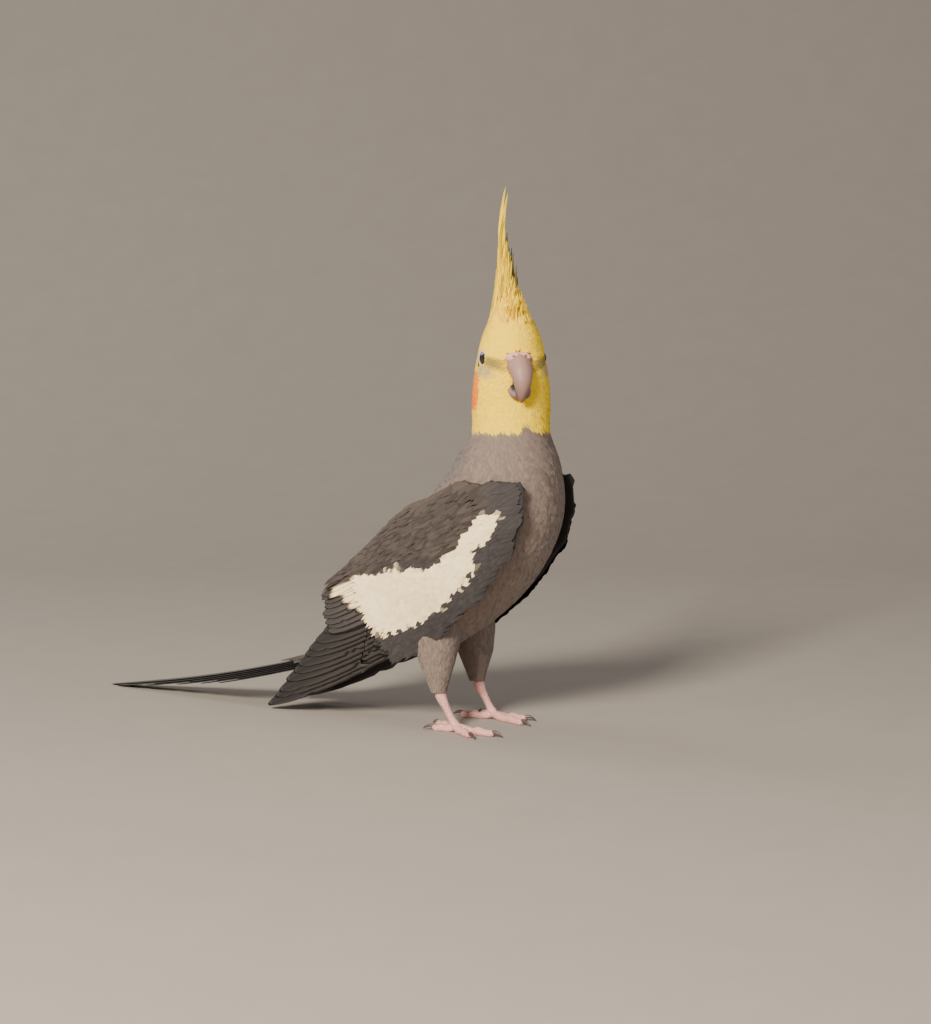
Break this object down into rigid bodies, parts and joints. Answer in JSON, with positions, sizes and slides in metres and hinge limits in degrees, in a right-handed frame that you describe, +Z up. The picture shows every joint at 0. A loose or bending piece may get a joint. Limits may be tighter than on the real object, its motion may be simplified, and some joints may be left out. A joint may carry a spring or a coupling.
{
  "type": "cockatiel",
  "caption": "Life-size still model of a grey male cockatiel standing with raised crest, looking round over its right side, tail laid back along the floor",
  "frame": {"origin": "on the floor, under the middle of the bird's box", "axes": "+Z up, the bird's body faces -Y with its tail towards +Y, its right side is -X"},
  "size_m": [0.0684, 0.2462, 0.2365],
  "materials": {
    "yellow_feather": "pale yellow face and crest with an orange cheek patch, soft matte feather",
    "grey_feather": "brownish grey plumage, soft matte feather",
    "wing_feather": "dark grey vanes with pale edges and a cream patch, matte",
    "tail_feather": "near black vanes, slight sheen",
    "bill_horn": "pinkish grey horn, satin",
    "cere_skin": "soft pink skin, finely wrinkled",
    "eye": "nearly black, wet gloss",
    "foot_skin": "pink scaly skin, satin",
    "claw_horn": "dark grey brown horn, satin"
  },
  "bodies": {
    "root": {"torso": "grey_feather", "neck": "grey_feather", "head": "yellow_feather", "crest": "yellow_feather", "cere": "cere_skin", "bill_upper": "bill_horn", "bill_lower": "bill_horn", "tail": "tail_feather", "eye_left": "eye", "wing_left": "wing_feather", "thigh_left": "grey_feather", "foot_left": "foot_skin", "claw_left_1": "claw_horn", "claw_left_2": "claw_horn", "claw_left_3": "claw_horn", "claw_left_4": "claw_horn", "eye_right": "eye", "wing_right": "wing_feather", "thigh_right": "grey_feather", "foot_right": "foot_skin", "claw_right_1": "claw_horn", "claw_right_2": "claw_horn", "claw_right_3": "claw_horn", "claw_right_4": "claw_horn"}
  },
  "joints": []
}
